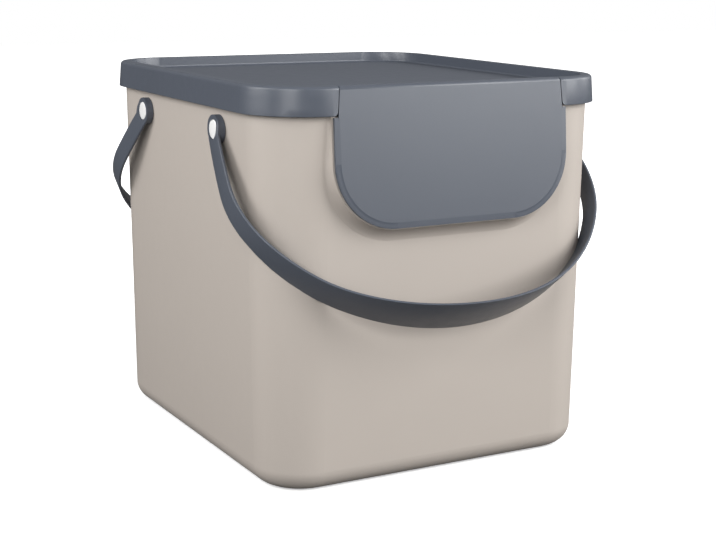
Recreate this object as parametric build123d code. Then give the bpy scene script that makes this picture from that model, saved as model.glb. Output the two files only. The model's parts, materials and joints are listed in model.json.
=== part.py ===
from build123d import *

import os
from math import atan, cos, radians, sin, sqrt, tan

# Stackable recycling bin: a drafted tub, a lift-off lid with a stacking tray,
# a front flap hinged in the lid and two bail handles on snap studs.
# Millimetres, +Z up, front at -Y, origin on the floor under the tub's centre.

# Tub
HEIGHT = 340.0              # floor to the top of the lid
BASE_WIDTH = 319.3
BASE_DEPTH = 360.3
BASE_CORNER = 44.0          # plan radius at the floor
RIM_CORNER = 51.0           # plan radius at the rim
DRAFT = 0.803               # degrees, every side wall
WALL = 2.5
FLOOR_THICK = 3.4
BASE_ROUND = 18.0           # floor to wall
FOOT_BAND = 9.0             # flat ring that the bin stands on
FOOT_RECESS = 1.2           # how far the floor is raised inside the foot ring

# Lid
COLLAR_OVER = 6.2           # collar's lower edge beyond the tub's rim
COLLAR_HEIGHT = 23.6
LEAN = 4.6                  # degrees that collar and flap flare out towards the floor
COLLAR_FOOT_ROUND = 0.5     # collar's lower outer edge
LID_WALL = 2.0
LID_TOP = 2.6               # thickness of the top border
LID_EDGE = 3.0              # outer top edge radius
TRAY_DEEP = 10.0            # drop from the border to the tray floor
TRAY_FILLET = 2.0           # tray wall to tray floor
STACK_CLEAR = 0.4           # tray wall to the foot of a bin stacked on it
COLLAR_END_ROUND = 4.5      # lower corner of the collar beside the flap

# Flap
FLAP_INSET = 57.8           # collar's side to the flap's edge
FLAP_NECK = 4.0             # flap narrower by this on each side, between the collar's ends
FLAP_DROP = 93.2            # collar's lower edge to the flap's lower edge
FLAP_CORNER = 55.0
FLAP_WALL = 2.4
FLAP_HEM = 5.0              # bevelled border, width
FLAP_HEM_DEEP = 1.2         # bevelled border, depth
FLAP_LIP_ROUND = 2.2        # rear edge of the top lip
SHOULDER_GAP = 1.0          # under the collar's ends
SEAM = 0.7                  # flap to the collar's ends, each side
HINGE_BEHIND = 4.1          # hinge axis behind the flap's face
HINGE_BELOW = 3.6           # hinge axis below the lid's top
LIP_BEHIND = 3.4            # rear edge of the top lip behind the hinge axis
HINGE_PIN = 2.0             # stub pin radius
HINGE_CLEAR = 0.06
EAR_THICK = 3.0             # hinge ears in the lid
CHEEK_THICK = 2.4           # flap's end cheeks that carry the pins
CHEEK_DROP = 9.0            # cheek below the hinge axis

# Opening behind the flap
LIP_OVER = 1.3              # the tub's lip shows this far beyond the flap
LIP_FACE = 11.3             # flat face behind the flap's edge
LIP_GAP = 0.6               # flap's back to the lip
COVE_TOP = 2.5              # width of the hollow blend beside the lip, under the collar
COVE_SIDE = 8.0             # the same beside the lip's round corners
COVE_BOTTOM = 13.0          # the same below the lip
COVE_SINK = 0.01            # blend's foot under the wall's face, as a share of the lip's rise
COVE_RUN = 4.0              # how far the blend runs on from there
COVE_END = 0.17             # share of the rise that it ends under the wall's face
COVE_STEPS = 6              # sections from the lip to the wall
JOIN_TOLERANCE = 0.001      # within which the lip's blend meets the wall
COLLAR_CLEAR = 0.4          # top of the lip to the collar
NOTCH_OVER = 1.7            # rim notch beyond the hinge ears

# Handles
PIVOT_BEHIND = 97.15        # pivot axis behind the tub's front wall
PIVOT_BELOW = 18.4          # pivot axis below the collar
STRAP_THICK = 2.5
ARM_DROP = 45.0             # degrees below level, where the arms rest
GRIP_LEAN = 7.7             # degrees that the strap leans off square
EYE_RADIUS = 12.4
EYE_THICK = 5.8
EYE_CLEAR = 0.55            # eye boss to the tub wall
STRAP_UPPER = 7.0           # upper edge from the arm line
STRAP_MIDDLE = 15.0         # lower edge from the arm line, halfway down
STRAP_LOWER = 15.75         # lower edge from the arm line, at the grip
FLARE_START = 160.0         # where the grip starts to widen
FLARE_RADIUS = 92.0

# Half of the strap's outer face, from the grip's middle to the eye: how far in
# from the eye's face, and how far down from the pivot axis
GRIP_DOWN = 203.5
GRIP_END = (62.2, 175.0)
BEND_END = (5.2, 119.5)
ARM_WIDEST = (-8.4, 60.0)
ARM_TOP = (-0.4, 0.0)
ARM_PAST_EYE = 14.0
RIBBON_REACH = 58.0         # half the strap's width before its edges are cut

# Studs
HEAD_RADIUS = 8.25
HEAD_THICK = 2.0
HEAD_ROUND = 1.0
HEAD_PROUD = 0.5            # head above the eye's face
HEAD_GAP = 0.1              # head to the pocket's floor
HEAD_POCKET_CLEAR = 0.45
SHANK_RADIUS = 4.0
SHANK_CLEAR = 0.08          # running fit in the eye
HOLE_CLEAR = 0.05           # in the tub wall
PAD_RADIUS = 10.0           # thickened pad inside the wall
PAD_THICK = 1.6
CAP_RADIUS = 8.0
CAP_FLANGE = 1.8
CAP_HUB_RADIUS = 6.0
CAP_HUB = 5.0
CAP_EDGE = 0.6
CAP_BORE_CLEAR = 0.02
SHANK_PAST_CAP = 0.8

SLOPE = tan(radians(DRAFT))
FLARE = tan(radians(LEAN))


def wall_half_width(z):
    """Half width of the tub's outside at height z."""
    return BASE_WIDTH / 2 + z * SLOPE


def wall_half_depth(z):
    """Half depth of the tub's outside at height z."""
    return BASE_DEPTH / 2 + z * SLOPE


COLLAR_BOTTOM = HEIGHT - COLLAR_HEIGHT
RIM = HEIGHT - LID_TOP
TRAY_FLOOR = HEIGHT - TRAY_DEEP
COLLAR_X = wall_half_width(RIM) + COLLAR_OVER
COLLAR_Y = wall_half_depth(RIM) + COLLAR_OVER
COLLAR_CORNER = RIM_CORNER + COLLAR_OVER
COLLAR_DRAWN_IN = COLLAR_HEIGHT * FLARE


def face_depth(z):
    """Depth of the leaning front face that the collar and the flap share, at height z."""
    return (z - COLLAR_BOTTOM) * FLARE - COLLAR_Y


HINGE_Z = HEIGHT - HINGE_BELOW
HINGE_Y = face_depth(HINGE_Z) + HINGE_BEHIND
FLAP_HALF = COLLAR_X - FLAP_INSET
NECK_HALF = FLAP_HALF - FLAP_NECK
NECK_HALF_TOP = NECK_HALF - COLLAR_DRAWN_IN
FLAP_BOTTOM = COLLAR_BOTTOM - FLAP_DROP
LIP_BACK = FLAP_WALL + LIP_GAP
LIP_TOP = COLLAR_BOTTOM - COLLAR_CLEAR
LIP_HALF = FLAP_HALF + LIP_OVER
EAR_X = NECK_HALF + SEAM
PIVOT_HEIGHT = COLLAR_BOTTOM - PIVOT_BELOW
PIVOT_OFFSET = BASE_DEPTH / 2 - PIVOT_BEHIND
PIVOT_WALL = wall_half_width(PIVOT_HEIGHT)
EYE_FACE = PIVOT_WALL + EYE_CLEAR + EYE_THICK
HEAD_SEAT = EYE_FACE + HEAD_PROUD - HEAD_THICK
PAD_FACE = PIVOT_WALL - WALL - PAD_THICK


def rounded_plan(half_x, half_y, radius, z):
    """Rounded rectangle about the centre, at height z."""
    return Pos(0, 0, z) * RectangleRounded(2 * half_x, 2 * half_y, radius)


def corner_radius(z):
    """Plan radius of the tub's outside at height z."""
    return BASE_CORNER + (RIM_CORNER - BASE_CORNER) * z / RIM


def tub_plan(z, inset=0.0):
    """The tub's plan at height z, drawn in by inset."""
    return rounded_plan(
        wall_half_width(z) - inset, wall_half_depth(z) - inset, corner_radius(z) - inset, z
    )


def tapered_body(low, high, inset, round_radius):
    """Solid between two heights of the tub, with its lower edge rounded."""
    body = loft([tub_plan(low, inset), tub_plan(high, inset)], ruled=True)
    lower = body.faces().sort_by(Axis.Z)[0].edges()
    return fillet(lower, round_radius)


def front_plane(y):
    """Plane facing the front at depth y, with local x to the right and local y up."""
    return Plane(origin=(0, y, 0), x_dir=(1, 0, 0), z_dir=(0, -1, 0))


def leaning_plane(origin_y, slope):
    """Plane facing the front through origin_y at the collar's lower edge, local y up it."""
    angle = atan(slope)
    return Plane(
        origin=(0, origin_y, COLLAR_BOTTOM), x_dir=(1, 0, 0), z_dir=(0, -cos(angle), sin(angle))
    )


def u_outline(half, bottom, top, radius, narrower=0.0):
    """Closed U shape with round lower corners, narrower at its top on each side."""
    sheet = make_face(
        Polyline((-half, bottom), (half, bottom), (half - narrower, top), (narrower - half, top), close=True)
    )
    corners = sheet.vertices().group_by(Axis.Y)[0]
    return fillet(corners, radius)


def extrude_between(sketch, y_front, y_back):
    """Solid of a front-view sketch between two depths."""
    return extrude(front_plane(y_front) * sketch, amount=y_front - y_back)


def side_disc(x_low, x_high, y, z, radius):
    """Cylinder along X between two distances from the centre."""
    middle = (x_low + x_high) / 2
    return Pos(middle, y, z) * Rot(0, 90, 0) * Cylinder(radius, x_high - x_low)


def pivots():
    """Side and depth signs of the four handle pivots."""
    return [(side, end) for end in (-1, 1) for side in (-1, 1)]


def pivot_disc(side, end, x_low, x_high, radius):
    """Cylinder on a handle's pivot axis, out from the given side."""
    disc = side_disc(x_low, x_high, end * PIVOT_OFFSET, PIVOT_HEIGHT, radius)
    return disc if side > 0 else mirror(disc, Plane.YZ)


def cove_section(rise, share, run=0.0):
    """Outline of the opening's lip with its blend, at a share of the way from wall to lip."""
    top, side, below = (share * width + run for width in (COVE_TOP, COVE_SIDE, COVE_BOTTOM))
    wall_y, lip_y = -wall_half_depth(COLLAR_BOTTOM), face_depth(COLLAR_BOTTOM) + LIP_BACK
    plane = leaning_plane(wall_y + rise * (lip_y - wall_y), rise * (FLARE + SLOPE) - SLOPE)
    outline = u_outline(
        LIP_HALF + side,
        -FLAP_DROP - LIP_OVER - below,
        -COLLAR_CLEAR,
        FLAP_CORNER + LIP_OVER + side,
        side - top,
    )
    return plane * outline


def opening_lip():
    """Lip around the tub's opening: a leaning flat face and a hollow blend down to the wall."""
    sections = []
    for step in range(COVE_STEPS + 1):
        turn = radians(90 * step / COVE_STEPS)
        rise = 1 - (1 + COVE_SINK) * sin(turn)
        sections.append(cove_section(rise, 1 - cos(turn)))
    sections.append(cove_section(-COVE_END, 1, COVE_RUN))
    return loft(sections)


def make_tub():
    """Tub with its drafted walls, foot ring, opening lip, rim notch and pivot holes."""
    outside = tapered_body(0, RIM, 0, BASE_ROUND)
    inside = tapered_body(FLOOR_THICK, RIM, WALL, BASE_ROUND - WALL)
    inset = BASE_ROUND + FOOT_BAND
    foot = extrude(
        rounded_plan(BASE_WIDTH / 2 - inset, BASE_DEPTH / 2 - inset, BASE_CORNER - inset / 2, 0),
        amount=FOOT_RECESS,
    )
    lip_plane = leaning_plane(face_depth(COLLAR_BOTTOM), FLARE).offset(-LIP_BACK)
    corner = FLAP_CORNER + LIP_OVER
    drop = FLAP_DROP + LIP_OVER
    cored = u_outline(LIP_HALF - WALL, WALL - drop, -COLLAR_CLEAR, corner - WALL)
    hollow = extrude(lip_plane.offset(-WALL) * cored, amount=-COVE_BOTTOM - WALL)
    tub = outside.fuse(opening_lip(), tol=JOIN_TOLERANCE) - inside - foot - hollow

    mouth = u_outline(LIP_HALF - LIP_FACE, LIP_FACE - drop, COLLAR_HEIGHT, corner - LIP_FACE)
    tub -= extrude(lip_plane.offset(WALL) * mouth, amount=-COVE_BOTTOM - 4 * WALL)
    notch_half = EAR_X + EAR_THICK + NOTCH_OVER
    notch = Pos(0, (COLLAR_BOTTOM + HEIGHT) / 2) * Rectangle(2 * notch_half, COLLAR_HEIGHT)
    tub -= extrude_between(notch, -COLLAR_Y, -BASE_DEPTH / 2 + 3 * WALL)

    for side, end in pivots():
        tub += pivot_disc(side, end, PAD_FACE, PIVOT_WALL - WALL / 2, PAD_RADIUS)
        tub -= pivot_disc(side, end, PAD_FACE - WALL, EYE_FACE, SHANK_RADIUS + HOLE_CLEAR)
    return tub


def collar_body(inset, top, bottom):
    """Flared body of the collar's plan between two heights, drawn in by inset."""
    plans = []
    for z in (bottom, top):
        drawn = inset + (z - COLLAR_BOTTOM) * FLARE
        plans.append(rounded_plan(COLLAR_X - drawn, COLLAR_Y - drawn, COLLAR_CORNER - drawn, z))
    return loft(plans, ruled=True)


def seam_outline(grow):
    """Front view of the flap's neck between the collar's ends, grown by the given width."""
    low, high = NECK_HALF + grow, NECK_HALF_TOP + grow
    return make_face(
        Polyline((-low, COLLAR_BOTTOM), (low, COLLAR_BOTTOM), (high, HEIGHT), (-high, HEIGHT), close=True)
    )


def make_lid():
    """Lid: collar, top border, stacking tray and the two hinge ears beside the flap."""
    collar = collar_body(0, HEIGHT, COLLAR_BOTTOM)
    collar = fillet(collar.faces().sort_by(Axis.Z)[-1].edges(), LID_EDGE)
    collar = fillet(collar.faces().sort_by(Axis.Z)[0].edges(), COLLAR_FOOT_ROUND)
    cavity = collar_body(LID_WALL, RIM, COLLAR_BOTTOM)

    # The tray takes the foot of the same bin, so its size comes from the tub's base
    drawn_in = BASE_ROUND - sqrt(BASE_ROUND**2 - (BASE_ROUND - TRAY_DEEP) ** 2)
    grow = STACK_CLEAR - drawn_in
    tray_x = wall_half_width(TRAY_DEEP) + grow
    tray_y = wall_half_depth(TRAY_DEEP) + grow
    tray_corner = corner_radius(TRAY_DEEP) + grow
    tray = extrude(rounded_plan(tray_x, tray_y, tray_corner, TRAY_FLOOR), amount=TRAY_DEEP)
    tray = fillet(tray.faces().sort_by(Axis.Z)[0].edges(), TRAY_FILLET)
    island = extrude(
        rounded_plan(tray_x + LID_WALL, tray_y + LID_WALL, tray_corner + LID_WALL, TRAY_FLOOR - LID_WALL),
        amount=TRAY_DEEP + LID_WALL,
    )
    lid = collar - (cavity - island) - tray

    # The border is open at the front, from seam to seam, for the flap
    wall_front = -tray_y - LID_WALL
    below = Pos(0, COLLAR_BOTTOM - COLLAR_HEIGHT / 2) * Rectangle(2 * COLLAR_X, COLLAR_HEIGHT)
    gap = seam_outline(SEAM) + below
    inner_corners = [point for point in gap.vertices() if abs(abs(point.X) - EAR_X) < SEAM]
    gap = fillet([point for point in inner_corners if point.Y < COLLAR_BOTTOM + SEAM], COLLAR_END_ROUND)
    lid -= extrude_between(gap, -COLLAR_Y - LID_TOP, wall_front)

    top, bottom = HEIGHT - LID_TOP / 2, COLLAR_BOTTOM + COLLAR_END_ROUND
    front, back = LID_WALL / 2, wall_front + LID_WALL / 2
    outline = lid_side_view(
        [(face_depth(bottom) + front, bottom), (back, bottom), (back, top), (face_depth(top) + 2 * front, top)]
    )
    ear = Pos(EAR_X, 0, 0) * extrude(outline, amount=EAR_THICK)
    bore = side_disc(
        NECK_HALF_TOP, EAR_X + EAR_THICK + SEAM, HINGE_Y, HINGE_Z, HINGE_PIN + HINGE_CLEAR
    )
    return lid + ear + mirror(ear, Plane.YZ) - bore - mirror(bore, Plane.YZ)


def lid_side_view(points):
    """Face drawn in side view from y and z, ready to extrude along X."""
    return Plane.YZ * make_face(Polyline(*points, close=True))


def make_flap():
    """Flap: bevelled plate, top lip over the hinge, end cheeks and stub pins."""
    shoulder = COLLAR_BOTTOM - SHOULDER_GAP
    plate = extrude(u_outline(FLAP_HALF, -FLAP_DROP, -SHOULDER_GAP, FLAP_CORNER), amount=-FLAP_WALL)
    face = plate.faces().sort_by(Axis.Z)[-1]
    hem = [edge for edge in face.edges() if edge.center().Y < -SHOULDER_GAP - SEAM]
    plate = chamfer(hem, FLAP_HEM, FLAP_HEM_DEEP, reference=face)
    plate = leaning_plane(face_depth(COLLAR_BOTTOM), FLARE) * plate

    lip_y = HINGE_Y + LIP_BEHIND
    under_lip = HEIGHT - FLAP_WALL
    low = shoulder - FLAP_WALL
    corner = (face_depth(HEIGHT), HEIGHT)
    inner_corner = (face_depth(under_lip) + FLAP_WALL, under_lip)
    lip_edge = (lip_y, HEIGHT)
    section = lid_side_view(
        [(face_depth(low), low), corner, lip_edge, (lip_y, under_lip), inner_corner,
         (face_depth(low) + FLAP_WALL, low)]
    )
    neck = extrude(section, amount=FLAP_HALF, both=True)
    for (y, z), radius in ((corner, LID_EDGE), (inner_corner, LID_EDGE - FLAP_WALL), (lip_edge, FLAP_LIP_ROUND)):
        neck = fillet(neck.edges().filter_by(Axis.X).sort_by_distance((0, y, z))[0], radius)
    sides = seam_outline(0) + Pos(0, COLLAR_BOTTOM - COLLAR_HEIGHT / 2) * Rectangle(2 * NECK_HALF, COLLAR_HEIGHT)
    neck &= extrude_between(sides, -COLLAR_Y - COLLAR_HEIGHT, 0)

    cheek_y = face_depth(HINGE_Z) + FLAP_WALL
    cheek = lid_side_view(
        [(face_depth(HINGE_Z - CHEEK_DROP) + FLAP_WALL * 3 / 4, HINGE_Z - CHEEK_DROP),
         (cheek_y, HEIGHT - FLAP_WALL / 2), (lip_y - FLAP_WALL / 2, HEIGHT - FLAP_WALL / 2),
         (lip_y, HINGE_Z + FLAP_WALL / 2)]
    )
    cheek = Pos(NECK_HALF_TOP - CHEEK_THICK, 0, 0) * extrude(cheek, amount=CHEEK_THICK)
    pin = side_disc(
        NECK_HALF_TOP - CHEEK_THICK, EAR_X + EAR_THICK - HINGE_CLEAR, HINGE_Y, HINGE_Z, HINGE_PIN
    )
    return plate + neck + cheek + pin + mirror(cheek, Plane.YZ) + mirror(pin, Plane.YZ)


def arm_view():
    """Side-view plane at the front pivot, local x down the arm and local y square to it."""
    drop = radians(ARM_DROP)
    return Plane(
        origin=(0, -PIVOT_OFFSET, PIVOT_HEIGHT), x_dir=(0, -cos(drop), -sin(drop)), z_dir=(-1, 0, 0)
    )


def strap_view():
    """Plane that the front strap's U lies in, leaning a little off the arm's own line."""
    rise = radians(ARM_DROP - GRIP_LEAN)
    return Plane(
        origin=(0, -PIVOT_OFFSET, PIVOT_HEIGHT), x_dir=(1, 0, 0), z_dir=(0, -cos(rise), sin(rise))
    )


def strap_ribbon():
    """The strap before its edges are cut: a U of tangent arcs, square to its plane."""
    turns = (GRIP_END, BEND_END, ARM_WIDEST, ARM_TOP)
    points = [(0, -GRIP_DOWN)] + [(EYE_FACE - inward, -down) for inward, down in turns]
    arcs = []
    heading = Vector(1, 0)
    for start, end in zip(points, points[1:]):
        arcs.append(TangentArc(start, end, tangent=heading))
        heading = arcs[-1] % 1
    arcs.append(Line(points[-1], Vector(points[-1]) + heading * ARM_PAST_EYE))
    outer = Wire([arc.edge() for arc in arcs])
    sheet = Face(outer.offset_2d(STRAP_THICK, side=Side.LEFT))
    half = extrude(strap_view() * sheet, amount=RIBBON_REACH, both=True)
    return half + mirror(half, Plane.YZ)


def strap_side():
    """The strap's outline seen along X: round eye, slim arm and flared grip."""
    past = GRIP_DOWN + EYE_RADIUS
    flared = STRAP_UPPER + FLARE_RADIUS - sqrt(FLARE_RADIUS**2 - (past - FLARE_START) ** 2)
    outline = [
        Line((0, -EYE_RADIUS), (0, STRAP_UPPER)),
        Line((0, STRAP_UPPER), (FLARE_START, STRAP_UPPER)),
        TangentArc((FLARE_START, STRAP_UPPER), (past, flared), tangent=(1, 0)),
        Line((past, flared), (past, -STRAP_LOWER)),
        ThreePointArc((past, -STRAP_LOWER), (past / 2, -STRAP_MIDDLE), (0, -EYE_RADIUS)),
    ]
    return make_face([line.edge() for line in outline]) + Circle(EYE_RADIUS)


def make_handle():
    """Front handle: a flat strap with a thick eye at each end, pocketed for the stud's head."""
    strap = strap_ribbon() & extrude(arm_view() * strap_side(), amount=BASE_WIDTH, both=True)
    for side in (-1, 1):
        strap += pivot_disc(side, -1, PIVOT_WALL + EYE_CLEAR, EYE_FACE, EYE_RADIUS)
        strap -= pivot_disc(
            side, -1, HEAD_SEAT - HEAD_GAP, EYE_FACE + EYE_RADIUS, HEAD_RADIUS + HEAD_POCKET_CLEAR
        )
        strap -= pivot_disc(side, -1, PIVOT_WALL, EYE_FACE, SHANK_RADIUS + SHANK_CLEAR)
    return strap


def make_stud():
    """Stud of the front right pivot: a low domed head and the shank through eye and wall."""
    cap_end = PAD_FACE - CAP_HUB
    head = pivot_disc(1, -1, HEAD_SEAT, HEAD_SEAT + HEAD_THICK, HEAD_RADIUS)
    head = fillet(head.edges().sort_by(Axis.X)[-1], HEAD_ROUND)
    shank = pivot_disc(1, -1, cap_end - SHANK_PAST_CAP, HEAD_SEAT, SHANK_RADIUS)
    shank = chamfer(shank.edges().sort_by(Axis.X)[0], SHANK_PAST_CAP)
    return head + shank


def make_cap():
    """Push-on cap of the front right pivot: a flange on the wall's pad and a hub."""
    flange = pivot_disc(1, -1, PAD_FACE - CAP_FLANGE, PAD_FACE, CAP_RADIUS)
    hub = pivot_disc(1, -1, PAD_FACE - CAP_HUB, PAD_FACE, CAP_HUB_RADIUS)
    hub = chamfer(hub.edges().sort_by(Axis.X)[0], CAP_EDGE)
    bore = pivot_disc(1, -1, PAD_FACE - 2 * CAP_HUB, PAD_FACE + CAP_HUB, SHANK_RADIUS + CAP_BORE_CLEAR)
    return flange + hub - bore


def at_pivot(piece, side, end):
    """Copy of a front right piece at another pivot."""
    if side < 0:
        piece = mirror(piece, Plane.YZ)
    if end > 0:
        piece = mirror(piece, Plane.XZ)
    return piece


def pieces():
    """Every piece under its node name."""
    handle = make_handle()
    made = {
        "tub": make_tub(),
        "lid": make_lid(),
        "flap": make_flap(),
        "front_handle": handle,
        "rear_handle": mirror(handle, Plane.XZ),
    }
    stud, cap = make_stud(), make_cap()
    for side, end in pivots():
        place = f"{'front' if end < 0 else 'rear'}_{'left' if side < 0 else 'right'}"
        made[f"stud_{place}"] = at_pivot(stud, side, end)
        made[f"cap_{place}"] = at_pivot(cap, side, end)
    return made


if __name__ == "__main__":
    os.makedirs("parts", exist_ok=True)
    for name, piece in pieces().items():
        export_step(piece, f"parts/{name}.step")
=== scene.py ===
"""Looks of a stackable recycling bin: drafted tub, tray lid, front flap and two strap handles."""

from __future__ import annotations

import json
import logging
import math
from dataclasses import dataclass, field
from enum import Enum

import bmesh
import bpy
from mathutils import Matrix, Vector

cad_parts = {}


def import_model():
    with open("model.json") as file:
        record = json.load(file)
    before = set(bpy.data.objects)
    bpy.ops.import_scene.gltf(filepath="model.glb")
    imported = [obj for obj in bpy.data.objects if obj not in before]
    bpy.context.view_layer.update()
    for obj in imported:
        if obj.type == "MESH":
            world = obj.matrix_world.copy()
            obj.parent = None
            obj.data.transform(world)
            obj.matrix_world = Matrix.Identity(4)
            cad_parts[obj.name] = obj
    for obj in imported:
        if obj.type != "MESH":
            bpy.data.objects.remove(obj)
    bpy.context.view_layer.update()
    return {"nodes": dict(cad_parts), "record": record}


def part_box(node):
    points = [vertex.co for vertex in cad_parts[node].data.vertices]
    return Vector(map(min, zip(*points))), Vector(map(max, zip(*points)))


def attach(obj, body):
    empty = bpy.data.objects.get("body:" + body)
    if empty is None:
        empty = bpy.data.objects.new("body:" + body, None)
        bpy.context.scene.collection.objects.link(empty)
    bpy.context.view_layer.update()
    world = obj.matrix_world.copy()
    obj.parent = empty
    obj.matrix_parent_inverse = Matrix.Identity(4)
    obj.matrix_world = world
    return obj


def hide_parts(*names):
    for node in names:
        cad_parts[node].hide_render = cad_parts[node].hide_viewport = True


LOG = logging.getLogger("recycling_bin")
MM = 0.001
PHOTO_WIDTH = 716               # pixels
SENSOR_WIDTH = 36.0             # millimetres, which the lens length goes with
MEETING = 1e-6                  # points closer than this are one
NO_WIDTH = 1e-7                 # keeps a division from nought where the strap has no width
ROW_NUDGE = 1e-4                # keeps a whole number from rounding down to the one below
AIM = (0.0, 0.0, 0.25)          # the lamps' target in the bin's middle

Colour = tuple[float, float, float]
Point = tuple[float, float, float]
Flat = tuple[float, float]


# Node graphs


class Wire:
    """One value of a node graph, with Python operators that add Math nodes."""

    def __init__(self, graph: "Graph", socket: bpy.types.NodeSocket) -> None:
        """Keeps the graph and the output socket."""
        self.graph = graph
        self.socket = socket

    def sibling(self, output: str) -> "Wire":
        """Another output of the same node."""
        return Wire(self.graph, self.socket.node.outputs[output])

    def _math(self, operation: str, first: "Wire | float", second: "Wire | float" = 0.0) -> "Wire":
        """Adds one Math node.

        Args:
            operation: Blender's name of the operation.
            first: Left value.
            second: Right value.

        Returns:
            The node's result.
        """
        return self.graph.node("ShaderNodeMath", {"operation": operation}, {0: first, 1: second})

    def __add__(self, other: "Wire | float") -> "Wire":
        """Sum."""
        return self._math("ADD", self, other)

    def __radd__(self, other: float) -> "Wire":
        """Sum with a number on the left."""
        return self._math("ADD", other, self)

    def __sub__(self, other: "Wire | float") -> "Wire":
        """Difference."""
        return self._math("SUBTRACT", self, other)

    def __rsub__(self, other: float) -> "Wire":
        """Difference from a number on the left."""
        return self._math("SUBTRACT", other, self)

    def __mul__(self, other: "Wire | float") -> "Wire":
        """Product."""
        return self._math("MULTIPLY", self, other)

    def __rmul__(self, other: float) -> "Wire":
        """Product with a number on the left."""
        return self._math("MULTIPLY", other, self)

    def __truediv__(self, other: "Wire | float") -> "Wire":
        """Quotient."""
        return self._math("DIVIDE", self, other)

    def __mod__(self, other: "Wire | float") -> "Wire":
        """Remainder."""
        return self._math("MODULO", self, other)

    def floor(self) -> "Wire":
        """Whole part."""
        return self._math("FLOOR", self)

    def sign(self) -> "Wire":
        """Minus one, nought or one."""
        return self._math("SIGN", self)

    def cosine(self) -> "Wire":
        """Cosine of an angle in radians."""
        return self._math("COSINE", self)

    def sine(self) -> "Wire":
        """Sine of an angle in radians."""
        return self._math("SINE", self)

    def at_most(self, other: "Wire | float") -> "Wire":
        """The smaller of two values."""
        return self._math("MINIMUM", self, other)

    def above(self, other: "Wire | float") -> "Wire":
        """One where this value is greater than the other."""
        return self._math("GREATER_THAN", self, other)

    def clamped(self) -> "Wire":
        """This value held between 0 and 1."""
        return self.graph.node("ShaderNodeClamp", {}, {"Value": self})


class Graph:
    """A node tree that is built by calls."""

    def __init__(self, tree: bpy.types.NodeTree) -> None:
        """Empties the tree and keeps it."""
        self.tree = tree
        self.tree.nodes.clear()

    def node(
        self,
        kind: str,
        settings: dict[str, object],
        inputs: dict[str | int, object],
        output: str | int = 0,
    ) -> Wire:
        """Adds a node.

        Args:
            kind: Blender's node type.
            settings: Properties that are set before the sockets.
            inputs: Values, links, or lists of links by socket name or number.
            output: Name or number of the output to hand back.

        Returns:
            The chosen output.
        """
        made = self.tree.nodes.new(kind)
        for key, value in settings.items():
            setattr(made, key, value)
        for key, value in inputs.items():
            if isinstance(value, Wire):
                self.tree.links.new(value.socket, made.inputs[key])
            elif isinstance(value, list):
                for wire in value:
                    self.tree.links.new(wire.socket, made.inputs[key])
            else:
                made.inputs[key].default_value = value
        return Wire(self, made.outputs[output])


class Bench(Graph):
    """A material's node tree, emptied and ready to build."""

    def __init__(self, name: str) -> None:
        """Makes the material under its name."""
        self.material = bpy.data.materials.new(name)
        self.material.use_nodes = True
        super().__init__(self.material.node_tree)

    def blend(self, share: Wire, low: Colour, high: Colour) -> Wire:
        """Mixes two colours.

        Args:
            share: 0 gives low and 1 gives high.
            low: First colour.
            high: Second colour.

        Returns:
            The mixed colour.
        """
        # A Mix node's colour sockets are numbers 6 and 7, and its colour result is number 2
        ends = {0: share, 6: (*low, 1.0), 7: (*high, 1.0)}
        return self.node("ShaderNodeMix", {"data_type": "RGBA"}, ends, 2)

    def noise(self, place: Wire, size: float, detail: float, contrast: float = 1.0) -> Wire:
        """Noise of a given grain size, spread about a half.

        Args:
            place: Object coordinates.
            size: Grain size in metres.
            detail: Blender's detail value.
            contrast: Stretch about the middle.

        Returns:
            The noise value.
        """
        raw = self.node(
            "ShaderNodeTexNoise", {}, {"Vector": place, "Scale": 1.0 / size, "Detail": detail}, "Fac"
        )
        if contrast == 1.0:
            return raw
        return ((raw - 0.5) * contrast + 0.5).clamped()

    def finish(self, surface: Wire) -> bpy.types.Material:
        """Links the shader to the output and hands back the material."""
        out = self.tree.nodes.new("ShaderNodeOutputMaterial")
        self.tree.links.new(surface.socket, out.inputs["Surface"])
        return self.material


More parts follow.
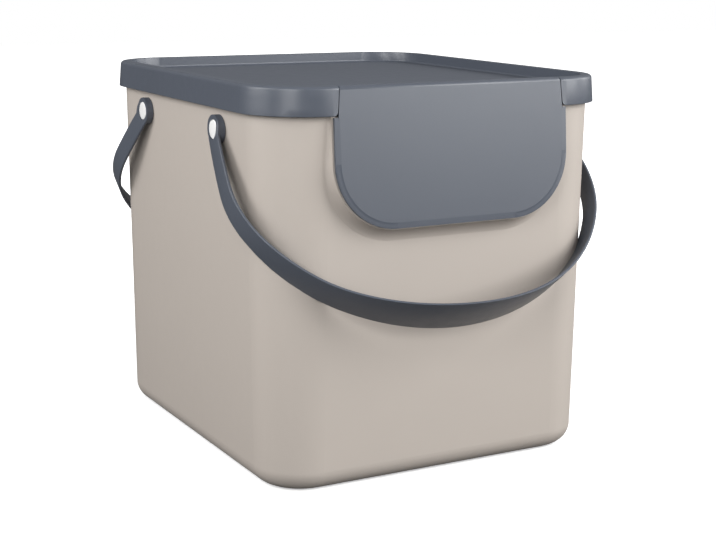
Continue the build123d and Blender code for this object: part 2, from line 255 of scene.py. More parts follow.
class Recipe(Graph):
    """A Geometry Nodes tree with named inputs, which turns a starting mesh into a plain one."""

    def __init__(self, name: str) -> None:
        """Makes the tree with its geometry input and output."""
        super().__init__(bpy.data.node_groups.new(name, "GeometryNodeTree"))
        self.inputs: dict[str, str] = {}
        self.values: dict[str, object] = {}
        self._socket("Geometry", "INPUT", "NodeSocketGeometry")
        self._socket("Geometry", "OUTPUT", "NodeSocketGeometry")
        self.entry = self.tree.nodes.new("NodeGroupInput")
        self.start = Wire(self, self.entry.outputs["Geometry"])

    def _socket(self, name: str, way: str, kind: str) -> str:
        """Adds one socket to the tree's interface and hands back its identifier."""
        return self.tree.interface.new_socket(name, in_out=way, socket_type=kind).identifier

    def dial(self, name: str, value: "float | int | bpy.types.Material") -> Wire:
        """Adds a named input.

        Args:
            name: The input's name.
            value: Its value in this bin: a size in metres, a count or a material.

        Returns:
            The input as a wire.
        """
        kinds = {int: "NodeSocketInt", float: "NodeSocketFloat", bpy.types.Material: "NodeSocketMaterial"}
        self.inputs[name] = self._socket(name, "INPUT", kinds[type(value)])
        self.values[name] = value
        return Wire(self, self.entry.outputs[name])

    def attribute(self, name: str) -> Wire:
        """Reads a named vector of the geometry at hand."""
        return self.node("GeometryNodeInputNamedAttribute", {"data_type": "FLOAT_VECTOR"}, {"Name": name})

    def sampled(self, geometry: Wire, value: Wire, index: Wire) -> Wire:
        """Reads a vector from a point of another geometry.

        Args:
            geometry: The geometry to read from.
            value: The vector field.
            index: Which point.

        Returns:
            The vector.
        """
        return self.node(
            "GeometryNodeSampleIndex",
            {"data_type": "FLOAT_VECTOR", "domain": "POINT"},
            {"Geometry": geometry, "Value": value, "Index": index},
        )

    def distance(self, first: Wire, second: Wire) -> Wire:
        """Distance between two places."""
        return self.node("ShaderNodeVectorMath", {"operation": "DISTANCE"}, {0: first, 1: second}, "Value")

    def between(self, share: Wire, low: Wire, high: Wire) -> Wire:
        """Vector at a share of the way from low to high."""
        # A Mix node's vector sockets are numbers 4 and 5, and its vector result is number 1
        return self.node("ShaderNodeMix", {"data_type": "VECTOR"}, {0: share, 4: low, 5: high}, 1)

    def woven(self, rows: Wire, columns: Wire) -> tuple[Wire, Wire, Wire]:
        """Adds a grid of points to shape into a skin.

        Args:
            rows: Stations along the skin.
            columns: Points round each station.

        Returns:
            The grid, and each point's row and column.
        """
        grid = self.node("GeometryNodeMeshGrid", {}, {"Vertices X": rows, "Vertices Y": columns}, "Mesh")
        index = self.node("GeometryNodeInputIndex", {}, {})
        return grid, (index / columns + ROW_NUDGE).floor(), index % columns

    def shaped(self, geometry: Wire, place: Wire) -> Wire:
        """Puts the points at a place and joins those that meet."""
        moved = self.node("GeometryNodeSetPosition", {}, {"Geometry": geometry, "Position": place})
        return self.node("GeometryNodeMergeByDistance", {}, {"Geometry": moved, "Distance": MEETING})

    def crisp(self, geometry: Wire, angle: float) -> Wire:
        """Smooth shading, apart from edges that turn by more than the given degrees."""
        smooth = self.node("GeometryNodeSetShadeSmooth", {}, {0: geometry, "Shade Smooth": True})
        turn = self.node("GeometryNodeInputMeshEdgeAngle", {}, {}, "Unsigned Angle")
        return self.node(
            "GeometryNodeStoreNamedAttribute",
            {"data_type": "BOOLEAN", "domain": "EDGE"},
            {"Geometry": smooth, "Name": "sharp_edge", "Value": turn.above(math.radians(angle))},
        )

    def finish(self, geometry: Wire, material: Wire) -> None:
        """Ends the tree in Realize Instances and Set Material."""
        plain = self.node("GeometryNodeRealizeInstances", {}, {"Geometry": geometry})
        dressed = self.node("GeometryNodeSetMaterial", {}, {"Geometry": plain, "Material": material})
        out = self.tree.nodes.new("NodeGroupOutput")
        self.tree.links.new(dressed.socket, out.inputs["Geometry"])

    def bake(self, name: str, start: bpy.types.Mesh) -> bpy.types.Object:
        """Runs the tree on a starting mesh.

        Args:
            name: Name of the piece.
            start: Mesh that the tree reads.

        Returns:
            The piece as a plain mesh object at the origin.
        """
        source = bpy.data.objects.new(name + "_start", start)
        bpy.context.scene.collection.objects.link(source)
        modifier = source.modifiers.new(self.tree.name, "NODES")
        modifier.node_group = self.tree
        for label, identifier in self.inputs.items():
            modifier[identifier] = self.values[label]
        graph = bpy.context.evaluated_depsgraph_get()
        mesh = bpy.data.meshes.new_from_object(source.evaluated_get(graph), depsgraph=graph)
        source.modifiers.remove(modifier)
        bpy.data.objects.remove(source)
        mesh.name = name
        piece = bpy.data.objects.new(name, mesh)
        bpy.context.scene.collection.objects.link(piece)
        return piece


# Finishes


FLOW_SIZE = 90 * MM             # slow flow marks of the moulding
CLOUD_SIZE = 9 * MM             # patches that are a little rougher or smoother
FLOW_CONTRAST = 1.6
CLOUD_CONTRAST = 1.4
UP_FROM = 0.8                   # upward part of the normal where a face starts to count as a top
UP_OVER = 0.15                  # and how much more of it makes it a top in full


@dataclass(frozen=True)
class MouldedPlastic:
    """A moulded plastic finish with the fine grain of its mould.

    Attributes:
        name: Material name.
        slot: Material slot of the record; not used.
        colour: Base colour.
        drift: Colour that slow flow marks drift to.
        drift_share: Strength of the drift.
        roughness: Middle roughness.
        roughness_spread: How far handling and flow vary the roughness.
        grain: Size of the mould's grain in metres.
        grain_height: Height of the grain in metres.
        specular: Specular level.
        matt_top: How much rougher it is where it faces up, as a tray that things stand on.
    """

    name: str
    slot: str
    colour: Colour
    drift: Colour
    drift_share: float
    roughness: float
    roughness_spread: float
    grain: float
    grain_height: float
    specular: float = 0.5
    matt_top: float = 0.0

    def build(self) -> bpy.types.Material:
        """Builds the material."""
        bench = Bench(self.name)
        place = bench.node("ShaderNodeTexCoord", {}, {}, "Object")
        flow = bench.noise(place, FLOW_SIZE, 2.0, FLOW_CONTRAST)
        cloud = bench.noise(place, CLOUD_SIZE, 3.0, CLOUD_CONTRAST)
        grain = bench.noise(place, self.grain, 2.0)
        colour = bench.blend(flow * self.drift_share, self.colour, self.drift)
        facing = bench.node("ShaderNodeTexCoord", {}, {}, "Normal")
        upward = bench.node("ShaderNodeSeparateXYZ", {}, {"Vector": facing}, "Z")
        top = ((upward - UP_FROM) / UP_OVER).clamped() * self.matt_top
        rough = (cloud - 0.5) * (2 * self.roughness_spread) + self.roughness + top
        bump = bench.node(
            "ShaderNodeBump", {}, {"Height": grain, "Strength": 1.0, "Distance": self.grain_height}, "Normal"
        )
        shader = bench.node(
            "ShaderNodeBsdfPrincipled",
            {},
            {
                "Base Color": colour,
                "Roughness": rough,
                "Normal": bump,
                "Specular IOR Level": self.specular,
            },
        )
        return bench.finish(shader)


class Finish(Enum):
    """The bin's finishes."""

    TUB = MouldedPlastic(
        name="warm_grey_tub",
        slot="tub_plastic",
        colour=(0.400, 0.359, 0.323),
        drift=(0.418, 0.375, 0.338),
        drift_share=0.5,
        roughness=0.50,
        roughness_spread=0.04,
        grain=0.9 * MM,
        grain_height=0.02 * MM,
        specular=0.4,
    )
    SLATE = MouldedPlastic(
        name="slate_blue",
        slot="slate_plastic",
        colour=(0.062, 0.071, 0.090),
        drift=(0.068, 0.078, 0.099),
        drift_share=0.5,
        roughness=0.36,
        roughness_spread=0.05,
        grain=0.8 * MM,
        grain_height=0.015 * MM,
        matt_top=0.3,
    )
    WHITE = MouldedPlastic(
        name="white_stud",
        slot="white_plastic",
        colour=(0.70, 0.70, 0.69),
        drift=(0.74, 0.74, 0.73),
        drift_share=0.4,
        roughness=0.35,
        roughness_spread=0.04,
        grain=0.5 * MM,
        grain_height=0.005 * MM,
    )


class Palette:
    """Builds each finish once."""

    def __init__(self) -> None:
        """Starts with no finish built."""
        self.built: dict[Finish, bpy.types.Material] = {}

    def material(self, finish: Finish) -> bpy.types.Material:
        """The material of a finish."""
        if finish not in self.built:
            self.built[finish] = finish.value.build()
        return self.built[finish]

    def dress(self, piece: bpy.types.Object, finish: Finish) -> None:
        """Gives a piece one finish all over.

        Args:
            piece: Mesh object.
            finish: The finish to wear.
        """
        piece.data.materials.clear()
        piece.data.materials.append(self.material(finish))


# The bin's pieces


SECTION_CORNERS = ("outer_low", "outer_high", "inner_low", "inner_high")
FACES_FRONT = 0.9               # forward part of the normal above which a face is at the front


def chain(count: int) -> list[tuple[int, int]]:
    """Edges that join a row of points, each to the next."""
    return [(index, index + 1) for index in range(count - 1)]


@dataclass
class SoftEdged:
    """A moulding of the frame with its sharp edges rounded, as they leave the mould.

    Attributes:
        node: The frame's node that it stands for.
        body: The body that it rides on.
        finish: Its finish.
        edge: Edge round in metres.
        turn: Edges that turn by more than this many degrees are sharp.
        hem_top: Height that the front's thinner hem reaches up to, in metres, where it has one.
        hem_deep: How far the hem falls back from the front, in metres.
        hem_eased: How far the hem is brought forward again, in metres.
        hem_within: A point this near to the hem's depth is on it, in metres.
        flat_within: Faces that turn by less than this many degrees become one.
    """

    node: str
    body: str
    finish: Finish
    edge: float = 0.6 * MM
    turn: float = 28.0
    hem_top: float = 0.0
    hem_deep: float = 1.2 * MM
    hem_eased: float = 0.95 * MM
    hem_within: float = 0.3 * MM
    flat_within: float = 0.05

    def build(self, frame_node: bpy.types.Object, palette: Palette) -> bpy.types.Object:
        """Copies the node, rounds it and dresses it.

        Args:
            frame_node: The frame's object.
            palette: Source of the finish.

        Returns:
            The finished piece.
        """
        skin = bmesh.new()
        skin.from_mesh(frame_node.data)
        skin.transform(frame_node.matrix_world)
        bmesh.ops.remove_doubles(skin, verts=skin.verts, dist=MEETING)
        flat = math.radians(self.flat_within)
        bmesh.ops.dissolve_limit(skin, angle_limit=flat, verts=skin.verts, edges=skin.edges)
        self._ease_hem(skin)
        mesh = bpy.data.meshes.new(self.node + "_soft")
        skin.to_mesh(mesh)
        skin.free()
        piece = bpy.data.objects.new(self.node + "_moulding", mesh)
        bpy.context.scene.collection.objects.link(piece)
        bevel = piece.modifiers.new("edges", "BEVEL")
        bevel.width = self.edge
        bevel.segments = 2
        bevel.limit_method = "ANGLE"
        bevel.angle_limit = math.radians(self.turn)
        bevel.harden_normals = True
        graph = bpy.context.evaluated_depsgraph_get()
        rounded = bpy.data.meshes.new_from_object(piece.evaluated_get(graph), depsgraph=graph)
        piece.modifiers.remove(bevel)
        piece.data = rounded
        palette.dress(piece, self.finish)
        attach(piece, self.body)
        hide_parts(self.node)
        LOG.info("%s: %d faces", piece.name, len(rounded.polygons))
        return piece

    def _ease_hem(self, skin: bmesh.types.BMesh) -> None:
        """Brings the hem round the front's edge forward, so that it is a soft step.

        Args:
            skin: The mesh to change.
        """
        if not self.hem_top:
            return
        skin.normal_update()
        forward = [face for face in skin.faces if face.normal.y < -FACES_FRONT]
        front = max(forward, key=lambda face: face.calc_area())
        out, level = front.normal.copy(), front.normal.dot(front.verts[0].co)
        for vert in skin.verts:
            behind = level - out.dot(vert.co)
            if vert.co.z < self.hem_top and abs(behind - self.hem_deep) < self.hem_within:
                vert.co += out * self.hem_eased


@dataclass
class TurnedFastener:
    """A turned piece at each of the four handle pivots, made once and repeated.

    Attributes:
        kind: First word of the nodes' names.
        outline: Pairs of a distance along the pivot from the piece's inner end and a radius.
        finish: Its finish.
        steps: Points round each turn.
        crease: Edges that turn by more than this many degrees are sharp.
    """

    kind: str
    outline: list[Flat]
    finish: Finish = Finish.WHITE
    steps: int = 64
    crease: float = 32.0

    def build(self, palette: Palette) -> bpy.types.Object:
        """Turns the outline round the pivot and repeats it at all four.

        Args:
            palette: Source of the finish.

        Returns:
            One piece that holds all four.
        """
        low, high = (Vector(corner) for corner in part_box(f"{self.kind}_front_right"))
        back_low, back_high = (Vector(corner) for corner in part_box(f"{self.kind}_rear_right"))
        front_y, rear_y = (low.y + high.y) / 2, (back_low.y + back_high.y) / 2
        height = (low.z + high.z) / 2

        recipe = Recipe(f"turned_{self.kind}")
        steps = recipe.dial("Steps", self.steps)
        reach = recipe.dial("Inner end from the middle", low.x)
        spread = recipe.dial("Pivot distance", rear_y - front_y)
        level = recipe.dial("Pivot height", height)
        material = recipe.dial("Material", palette.material(self.finish))
        count = recipe.node("GeometryNodeAttributeDomainSize", {}, {"Geometry": recipe.start}, "Point Count")
        skin, row, column = recipe.woven(count, steps + 1)
        outline = recipe.sampled(recipe.start, recipe.node("GeometryNodeInputPosition", {}, {}), row)
        split = recipe.node("ShaderNodeSeparateXYZ", {}, {"Vector": outline})
        along, radius = split, split.sibling("Y")
        angle = column / steps * (2 * math.pi)
        place = recipe.node(
            "ShaderNodeCombineXYZ", {}, {"X": along, "Y": radius * angle.cosine(), "Z": radius * angle.sine()}
        )
        turned = recipe.crisp(recipe.shaped(skin, place), self.crease)

        corners = recipe.node(
            "GeometryNodeMeshGrid",
            {},
            {"Size X": reach * 2.0, "Size Y": spread, "Vertices X": 2, "Vertices Y": 2},
            "Mesh",
        )
        lift = recipe.node("ShaderNodeCombineXYZ", {}, {"Z": level})
        corners = recipe.node("GeometryNodeSetPosition", {}, {"Geometry": corners, "Offset": lift})
        where = recipe.node("GeometryNodeInputPosition", {}, {})
        side = recipe.node("ShaderNodeSeparateXYZ", {}, {"Vector": where})
        facing = recipe.node("ShaderNodeCombineXYZ", {}, {"Z": (side.sign() - 1.0) * (-math.pi / 2)})
        placed = recipe.node(
            "GeometryNodeInstanceOnPoints", {}, {"Points": corners, "Instance": turned, "Rotation": facing}
        )
        recipe.finish(placed, material)

        start = bpy.data.meshes.new(f"{self.kind}_outline")
        start.from_pydata([(x, r, 0.0) for x, r in self.outline], chain(len(self.outline)), [])
        piece = recipe.bake(f"{self.kind}s", start)
        palette.dress(piece, self.finish)
        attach(piece, "tub")
        ends, sides = ("front", "rear"), ("left", "right")
        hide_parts(*(f"{self.kind}_{end}_{side}" for end in ends for side in sides))
        LOG.info("%s: %d faces", piece.name, len(piece.data.polygons))
        return piece


@dataclass
class CarryHandle:
    """A flat strap bent into a U, with a thick eye at each end, hanging on two studs.

    Sizes are in millimetres and angles in degrees. Outline points are distances in from
    the eye's face and down from the pivot axis, in the plane that the strap's U lies in.

    Attributes:
        node: The frame's node, which is also its body.
        front: Whether it is the handle at the front.
        eye_face: Eye's outer face from the bin's middle.
        eye_inner: Eye's inner face from the bin's middle.
        eye_radius: Radius of the eye.
        pocket_floor: Floor of the pocket for the stud's head, from the bin's middle.
        pocket_radius: Radius of that pocket.
        bore_radius: Radius of the bore for the stud's shank.
        thick: Thickness of the strap.
        edge_round: Round of the strap's edges.
        rise: How far the strap's plane hangs below level.
        lean: How far that plane leans off the arm's own line.
        grip_down: Middle of the grip, down from the pivot axis.
        turns: Ends of the arcs that the strap's outer line is made of.
        upper: Upper edge of the arm from its line.
        lower_eye: Lower edge from the arm's line, at the eye.
        lower_middle: Lower edge halfway down.
        lower_grip: Lower edge at the grip.
        widens_from: Where the upper edge starts to widen, down the arm.
        widening: Radius of that widening.
        arc_steps: Stations along each arc.
        round_steps: Points round each corner of the section.
        disc_points: Points round the eyes, pockets and bores.
        settling: Rounds in which an edge's place is worked out.
        crease: Edges that turn by more than this are sharp.
    """

    node: str
    front: bool
    eye_face: float = 170.18
    eye_inner: float = 164.38
    eye_radius: float = 12.4
    pocket_floor: float = 168.58
    pocket_radius: float = 8.7
    bore_radius: float = 4.08
    thick: float = 2.5
    edge_round: float = 0.9
    rise: float = 37.3
    lean: float = 7.7
    grip_down: float = 203.5
    turns: tuple[Flat, ...] = ((62.2, 175.0), (5.2, 119.5), (-8.4, 60.0), (-0.4, 0.0))
    upper: float = 7.0
    lower_eye: float = 12.4
    lower_middle: float = 15.0
    lower_grip: float = 15.75
    widens_from: float = 160.0
    widening: float = 92.0
    arc_steps: int = 26
    round_steps: int = 4
    disc_points: int = 96
    settling: int = 6
    crease: float = 34.0

    def _outer_line(self) -> list[tuple[Flat, Flat]]:
        """Walks the strap's outer line from the grip's middle to past the right eye.

        Returns:
            Pairs of a point and a heading, both in the strap's plane.
        """
        here, heading = Vector((0.0, -self.grip_down)), Vector((1.0, 0.0))
        line = [(here.copy(), heading.copy())]
        for inward, down in self.turns:
            chord = Vector((self.eye_face - inward, -down)) - here
            left = Vector((-heading.y, heading.x))
            bend = math.atan2(chord.dot(left), chord.dot(heading))
            radius = chord.length / (2 * math.sin(bend))
            for step in range(1, self.arc_steps + 1):
                turned = 2 * bend * step / self.arc_steps
                point = here + radius * (math.sin(turned) * heading + (1 - math.cos(turned)) * left)
                line.append((point, math.cos(turned) * heading + math.sin(turned) * left))
            here, heading = line[-1]
        for step in range(1, self.arc_steps // 2 + 1):
            past = self.eye_radius * math.sin(math.pi * step / self.arc_steps)
            line.append((here + heading * (past / heading.y), heading))
        return line

    def _edges(self, down: float) -> Flat:
        """Finds the strap's edges at a distance down from the pivot.

        Args:
            down: Distance from the pivot axis in the strap's plane.

        Returns:
            Lower and upper edge, as distances square to the strap's plane.
        """
        half_eye = math.sqrt(max(self.eye_radius**2 - down**2, 0.0))
        if down <= 0:
            return -half_eye, half_eye
        lean = math.radians(self.lean)
        past = self.grip_down + self.eye_radius
        taper = self.lower_grip - self.lower_eye
        bow = self.lower_middle - (self.lower_eye + self.lower_grip) / 2
        found = []
        for side in (-1, 1):
            square = 0.0
            for _ in range(self.settling):
                along = down * math.cos(lean) + square * math.sin(lean)
                if side > 0:
                    beyond = max(along - self.widens_from, 0.0)
                    edge = self.upper + self.widening - math.sqrt(self.widening**2 - beyond**2)
                else:
                    share = along / past
                    edge = -(self.lower_eye + taper * share + 4 * bow * share * (1 - share))
                square = (edge + down * math.sin(lean)) / math.cos(lean)
            found.append(square)
        return min(found[0], -half_eye), max(found[1], half_eye)

    def _strap_mesh(self, pivot: Vector) -> bpy.types.Mesh:
        """Line of stations along the strap, each with the four corners of its section.

        Args:
            pivot: Middle of the pivot axis.

        Returns:
            Mesh whose points hold the corners as attributes.
        """
        end = -1.0 if self.front else 1.0
        rise = math.radians(self.rise)
        across = Vector((0.0, end * math.cos(rise), math.sin(rise)))
        upward = Vector((0.0, -end * math.sin(rise), math.cos(rise)))

        right = self._outer_line()
        left = [(Vector((-p.x, p.y)), Vector((h.x, -h.y))) for p, h in reversed(right[1:])]
        corners: dict[str, list[Vector]] = {name: [] for name in SECTION_CORNERS}
        for point, heading in left + right:
            inside = point + self.thick * Vector((-heading.y, heading.x))
            for name, spot in (("outer", point), ("inner", inside)):
                low, high = self._edges(min(-spot.y, -point.y))
                base = pivot + MM * (Vector((spot.x, 0.0, 0.0)) + upward * spot.y)
                corners[name + "_low"].append(base + across * (low * MM))
                corners[name + "_high"].append(base + across * (high * MM))
        mesh = bpy.data.meshes.new(self.node + "_stations")
        mesh.from_pydata(corners["outer_low"], chain(len(corners["outer_low"])), [])
        for name, values in corners.items():
            layer = mesh.attributes.new(name, "FLOAT_VECTOR", "POINT")
            layer.data.foreach_set("vector", [number for value in values for number in value])
        return mesh

    def build(self, pivot: Vector, palette: Palette) -> bpy.types.Object:
        """Sweeps the rounded strap, adds the eyes and cuts their pockets and bores.

        Args:
            pivot: Middle of the pivot axis.
            palette: Source of the finish.

        Returns:
            The finished handle.
        """
        recipe = Recipe(self.node + "_strap")
        steps = recipe.dial("Corner steps", self.round_steps)
        edge_round = recipe.dial("Edge radius", self.edge_round * MM)
        material = recipe.dial("Material", palette.material(Finish.SLATE))
        count = recipe.node("GeometryNodeAttributeDomainSize", {}, {"Geometry": recipe.start}, "Point Count")
        skin, row, column = recipe.woven(count, (steps + 1) * 4.0 + 1)

        corner = (column / (steps + 1) + ROW_NUDGE).floor()
        angle = (corner + (column % (steps + 1)) / steps) * (math.pi / 2)
        middle = (corner + 0.5) * (math.pi / 2)
        at = {
            name: recipe.sampled(recipe.start, recipe.attribute(name), row)
            for name in SECTION_CORNERS
        }
        width = recipe.distance(at["outer_low"], at["outer_high"])
        depth = recipe.distance(at["outer_low"], at["inner_low"])
        round_width = (edge_round / (width + NO_WIDTH)).at_most(0.5)
        round_depth = (edge_round / depth).at_most(0.5)
        share = 0.5 + middle.cosine().sign() * (0.5 - round_width) + round_width * angle.cosine()
        inward = 0.5 + middle.sine().sign() * (0.5 - round_depth) + round_depth * angle.sine()
        outer = recipe.between(share, at["outer_low"], at["outer_high"])
        inner = recipe.between(share, at["inner_low"], at["inner_high"])
        strap = recipe.shaped(skin, recipe.between(inward, outer, inner))

        bosses = [
            self._disc(recipe, pivot, side, self.eye_inner, self.eye_face, self.eye_radius)
            for side in (-1, 1)
        ]
        cuts = [
            self._disc(recipe, pivot, side, low, high, radius)
            for side in (-1, 1)
            for low, high, radius in (
                (self.pocket_floor, self.eye_face + self.eye_radius, self.pocket_radius),
                (self.eye_inner - self.thick, self.pocket_floor + self.thick, self.bore_radius),
            )
        ]
        joined = recipe.node(
            "GeometryNodeMeshBoolean", {"operation": "UNION", "solver": "EXACT"}, {"Mesh 2": [strap, *bosses]}
        )
        cut = recipe.node(
            "GeometryNodeMeshBoolean",
            {"operation": "DIFFERENCE", "solver": "EXACT"},
            {"Mesh 1": joined, "Mesh 2": cuts},
        )
        recipe.finish(recipe.crisp(cut, self.crease), material)

        piece = recipe.bake(self.node + "_strap", self._strap_mesh(pivot))
        palette.dress(piece, Finish.SLATE)
        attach(piece, self.node)
        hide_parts(self.node)
        LOG.info("%s: %d faces", piece.name, len(piece.data.polygons))
        return piece

    def _disc(
        self, recipe: Recipe, pivot: Vector, side: int, low: float, high: float, radius: float
    ) -> Wire:
        """Adds a disc on the pivot axis.

        Args:
            recipe: The tree.
            pivot: Middle of the pivot axis.
            side: 1 for the right and -1 for the left.
            low: Inner face from the middle, in millimetres.
            high: Outer face from the middle, in millimetres.
            radius: Radius in millimetres.

        Returns:
            The disc.
        """
        disc = recipe.node(
            "GeometryNodeMeshCylinder",
            {},
            {"Vertices": self.disc_points, "Radius": radius * MM, "Depth": (high - low) * MM},
            "Mesh",
        )
        return recipe.node(
            "GeometryNodeTransform",
            {},
            {
                "Geometry": disc,
                "Translation": (side * (low + high) / 2 * MM, pivot.y, pivot.z),
                "Rotation": (0.0, math.pi / 2, 0.0),
            },
        )


# Studio


@dataclass
class Softbox:
    """A rectangular lamp aimed at a point."""

    name: str
    place: Point
    aim: Point
    width: float
    height: float
    power: float

    def light(self) -> None:
        """Adds the lamp to the scene."""
        data = bpy.data.lights.new(self.name, "AREA")
        data.shape = "RECTANGLE"
        data.size = self.width
        data.size_y = self.height
        data.energy = self.power
        lamp = bpy.data.objects.new(self.name, data)
        lamp.location = self.place
        heading = Vector(self.aim) - Vector(self.place)
        lamp.rotation_euler = heading.to_track_quat("-Z", "Y").to_euler()
        bpy.context.scene.collection.objects.link(lamp)


@dataclass
class Studio:
    """Pale floor, soft lamps, white surroundings and the photograph's camera.

    Attributes:
        lens: Length of the lens in millimetres.
        shift: Shift of the picture, as shares of its width.
        camera_place: Where the camera stands.
        right: The camera's own direction to the right.
        up: Its direction upwards.
        back: Its direction backwards, away from the bin.
        world_low: Least light from the room.
        world_span: How much more there is where the room is brightest.
        world_level: Share of that at the sides.
        world_behind: How much that share falls towards the back.
        world_overhead: How much it rises overhead.
        floor_colour: Floor as the bin's light meets it.
        floor_seen: Floor as the camera sees it.
        floor_glow: The floor's own glow near the bin.
        white_from: Distance at which that glow starts to grow to white, in metres.
        floor_reach: Half the floor's width in metres.
        lamps: The lamps.
    """

    lens: float = 73.48
    shift: Flat = (-0.5 / PHOTO_WIDTH, 0.5 / PHOTO_WIDTH)
    camera_place: Point = (-0.6515, -1.2098, 0.4388)
    right: Point = (0.8765, -0.4813, 0.0076)
    up: Point = (0.0940, 0.1867, 0.9779)
    back: Point = (-0.4721, -0.8564, 0.2089)
    world_low: float = 0.07
    world_span: float = 0.60
    world_level: float = 0.6
    world_behind: float = 0.5
    world_overhead: float = 0.6
    floor_colour: Colour = (0.12, 0.12, 0.12)
    floor_seen: Colour = (0.95, 0.95, 0.95)
    floor_glow: float = 0.35
    white_from: float = 0.45
    floor_reach: float = 6.0
    lamps: list[Softbox] = field(
        default_factory=lambda: [
            Softbox("right_softbox", (1.15, -1.4, 0.95), AIM, 1.4, 1.2, 41.0),
            Softbox("right_side_softbox", (1.6, -0.25, 0.8), AIM, 0.8, 0.8, 8.0),
            Softbox("left_side_softbox", (-1.25, 0.15, 0.8), AIM, 0.9, 0.8, 13.0),
            Softbox("corner_softbox", (-1.03, -1.03, 0.8), AIM, 0.5, 0.8, 11.5),
        ]
    )

    def build(self) -> None:
        """Builds the whole studio."""
        scene = bpy.context.scene
        scene.view_settings.view_transform = "Standard"
        self._camera()
        self._world()
        self._floor()
        for lamp in self.lamps:
            lamp.light()

    def _camera(self) -> None:
        """Adds the camera at the photograph's viewpoint."""
        data = bpy.data.cameras.new("photo_camera")
        data.lens = self.lens
        data.sensor_width = SENSOR_WIDTH
        data.shift_x = self.shift[0]
        data.shift_y = self.shift[1]
        camera = bpy.data.objects.new("photo_camera", data)
        turn = Matrix((self.right, self.up, self.back)).transposed().to_4x4()
        camera.matrix_world = Matrix.Translation(self.camera_place) @ turn
        bpy.context.scene.collection.objects.link(camera)
        bpy.context.scene.camera = camera

    def _world(self) -> None:
        """Lights the room, darker behind the bin, and shows it white to the camera."""
        world = bpy.data.worlds.new("surroundings")
        bpy.context.scene.world = world
        world.use_nodes = True
        graph = Graph(world.node_tree)
        way = graph.node("ShaderNodeTexCoord", {}, {}, "Generated")
        split = graph.node("ShaderNodeSeparateXYZ", {}, {"Vector": way})
        ahead, height = split.sibling("Y"), split.sibling("Z")
        share = self.world_level - self.world_behind * ahead + self.world_overhead * height
        level = share.clamped() * self.world_span + self.world_low
        lit = graph.node("ShaderNodeBackground", {}, {"Strength": level})
        seen = graph.node("ShaderNodeBackground", {}, {"Strength": 1.0, "Color": (1.0, 1.0, 1.0, 1.0)})
        path = graph.node("ShaderNodeLightPath", {}, {}, "Is Camera Ray")
        mixed = graph.node("ShaderNodeMixShader", {}, {0: path, 1: lit, 2: seen})
        out = world.node_tree.nodes.new("ShaderNodeOutputWorld")
        world.node_tree.links.new(mixed.socket, out.inputs["Surface"])

    def _floor(self) -> None:
        """Adds the floor, which the camera sees near white with the bin's shadow on it."""
        mesh = bpy.data.meshes.new("floor")
        reach = self.floor_reach
        mesh.from_pydata(
            [(-reach, -reach, 0.0), (reach, -reach, 0.0), (reach, reach, 0.0), (-reach, reach, 0.0)],
            [],
            [(0, 1, 2, 3)],
        )
        floor = bpy.data.objects.new("floor", mesh)
        bpy.context.scene.collection.objects.link(floor)
        bench = Bench("pale_floor")
        lit = bench.node(
            "ShaderNodeBsdfPrincipled",
            {},
            {"Base Color": (*self.floor_colour, 1.0), "Roughness": 0.9, "Specular IOR Level": 0.1},
        )
        place = bench.node("ShaderNodeTexCoord", {}, {}, "Object")
        far = bench.node("ShaderNodeVectorMath", {"operation": "LENGTH"}, {0: place}, "Value")
        glow = (far / self.white_from - 1.0).clamped() * (1.0 - self.floor_glow) + self.floor_glow
        shaded = bench.node(
            "ShaderNodeBsdfPrincipled",
            {},
            {"Base Color": (*self.floor_seen, 1.0), "Roughness": 1.0, "Specular IOR Level": 0.0},
        )
        white = bench.node("ShaderNodeEmission", {}, {"Strength": glow})
        seen = bench.node("ShaderNodeAddShader", {}, {0: shaded, 1: white})
        path = bench.node("ShaderNodeLightPath", {}, {}, "Is Camera Ray")
        mixed = bench.node("ShaderNodeMixShader", {}, {0: path, 1: lit, 2: seen})
        floor.data.materials.append(bench.finish(mixed))


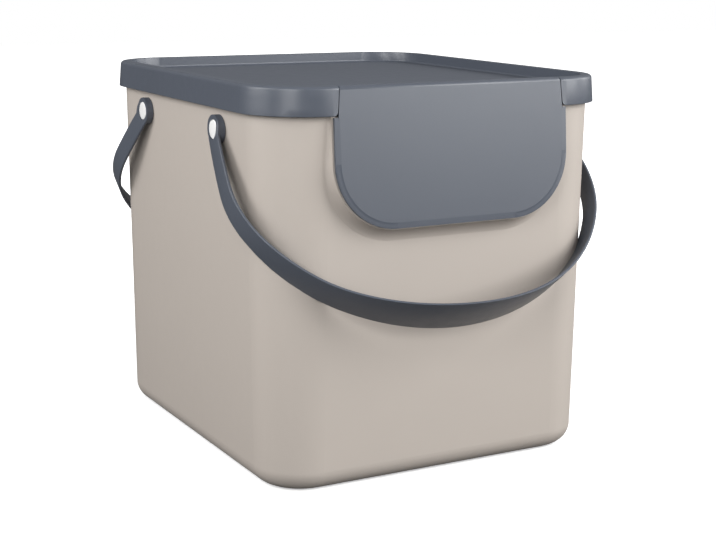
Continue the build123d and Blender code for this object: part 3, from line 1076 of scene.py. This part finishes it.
def stud_outline() -> list[Flat]:
    """Stud from its inner end: chamfered shank, flat under the head, and a low dome."""
    length, head, shank, radius = 16.75 * MM, 2.0 * MM, 4.0 * MM, 8.25 * MM
    chamfer, rim, rise = 0.8 * MM, 0.9 * MM, 0.25 * MM
    seat, flat = length - head, radius - rim
    turns = [math.radians(angle) for angle in range(0, 91, 15)]
    dome = [(length - rim + rim * math.sin(turn), flat + rim * math.cos(turn)) for turn in turns]
    rings = (5.5 * MM, 3.5 * MM, 1.5 * MM, 0.0)
    crown = [(length + rise * (1 - (ring / flat) ** 2), ring) for ring in rings]
    foot = [(0.0, 0.0), (0.0, shank - chamfer), (chamfer, shank), (seat, shank), (seat, radius)]
    return [*foot, *dome, *crown]


def cap_outline() -> list[Flat]:
    """Cap from its inner end, round its bore and back: chamfered hub and thin flange."""
    length, flange, hub, radius, bore = 5.0 * MM, 1.8 * MM, 6.0 * MM, 8.0 * MM, 4.02 * MM
    chamfer = 0.6 * MM
    seat = length - flange
    return [
        (0.0, bore),
        (0.0, hub - chamfer),
        (chamfer, hub),
        (seat, hub),
        (seat, radius - chamfer / 2),
        (seat + chamfer / 2, radius),
        (length, radius),
        (length, bore),
        (0.0, bore),
    ]


def main() -> None:
    """Builds the studio and the bin's visible pieces."""
    logging.basicConfig(level=logging.INFO, format="%(message)s")
    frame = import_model()
    Studio().build()
    palette = Palette()
    nodes = frame["nodes"]
    palette.dress(nodes["tub"], Finish.TUB)
    SoftEdged("lid", "lid", Finish.SLATE).build(nodes["lid"], palette)
    SoftEdged("flap", "flap", Finish.SLATE, hem_top=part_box("lid")[0][2]).build(nodes["flap"], palette)
    TurnedFastener("stud", stud_outline()).build(palette)
    TurnedFastener("cap", cap_outline()).build(palette)
    joints = {joint["child"]: joint for joint in frame["record"]["behaviour"]["joints"]}
    for name in ("front_handle", "rear_handle"):
        pivot = Vector(joints[name]["pos_m"])
        CarryHandle(name, pivot.y < 0).build(pivot, palette)


if __name__ == "__main__":
    main()
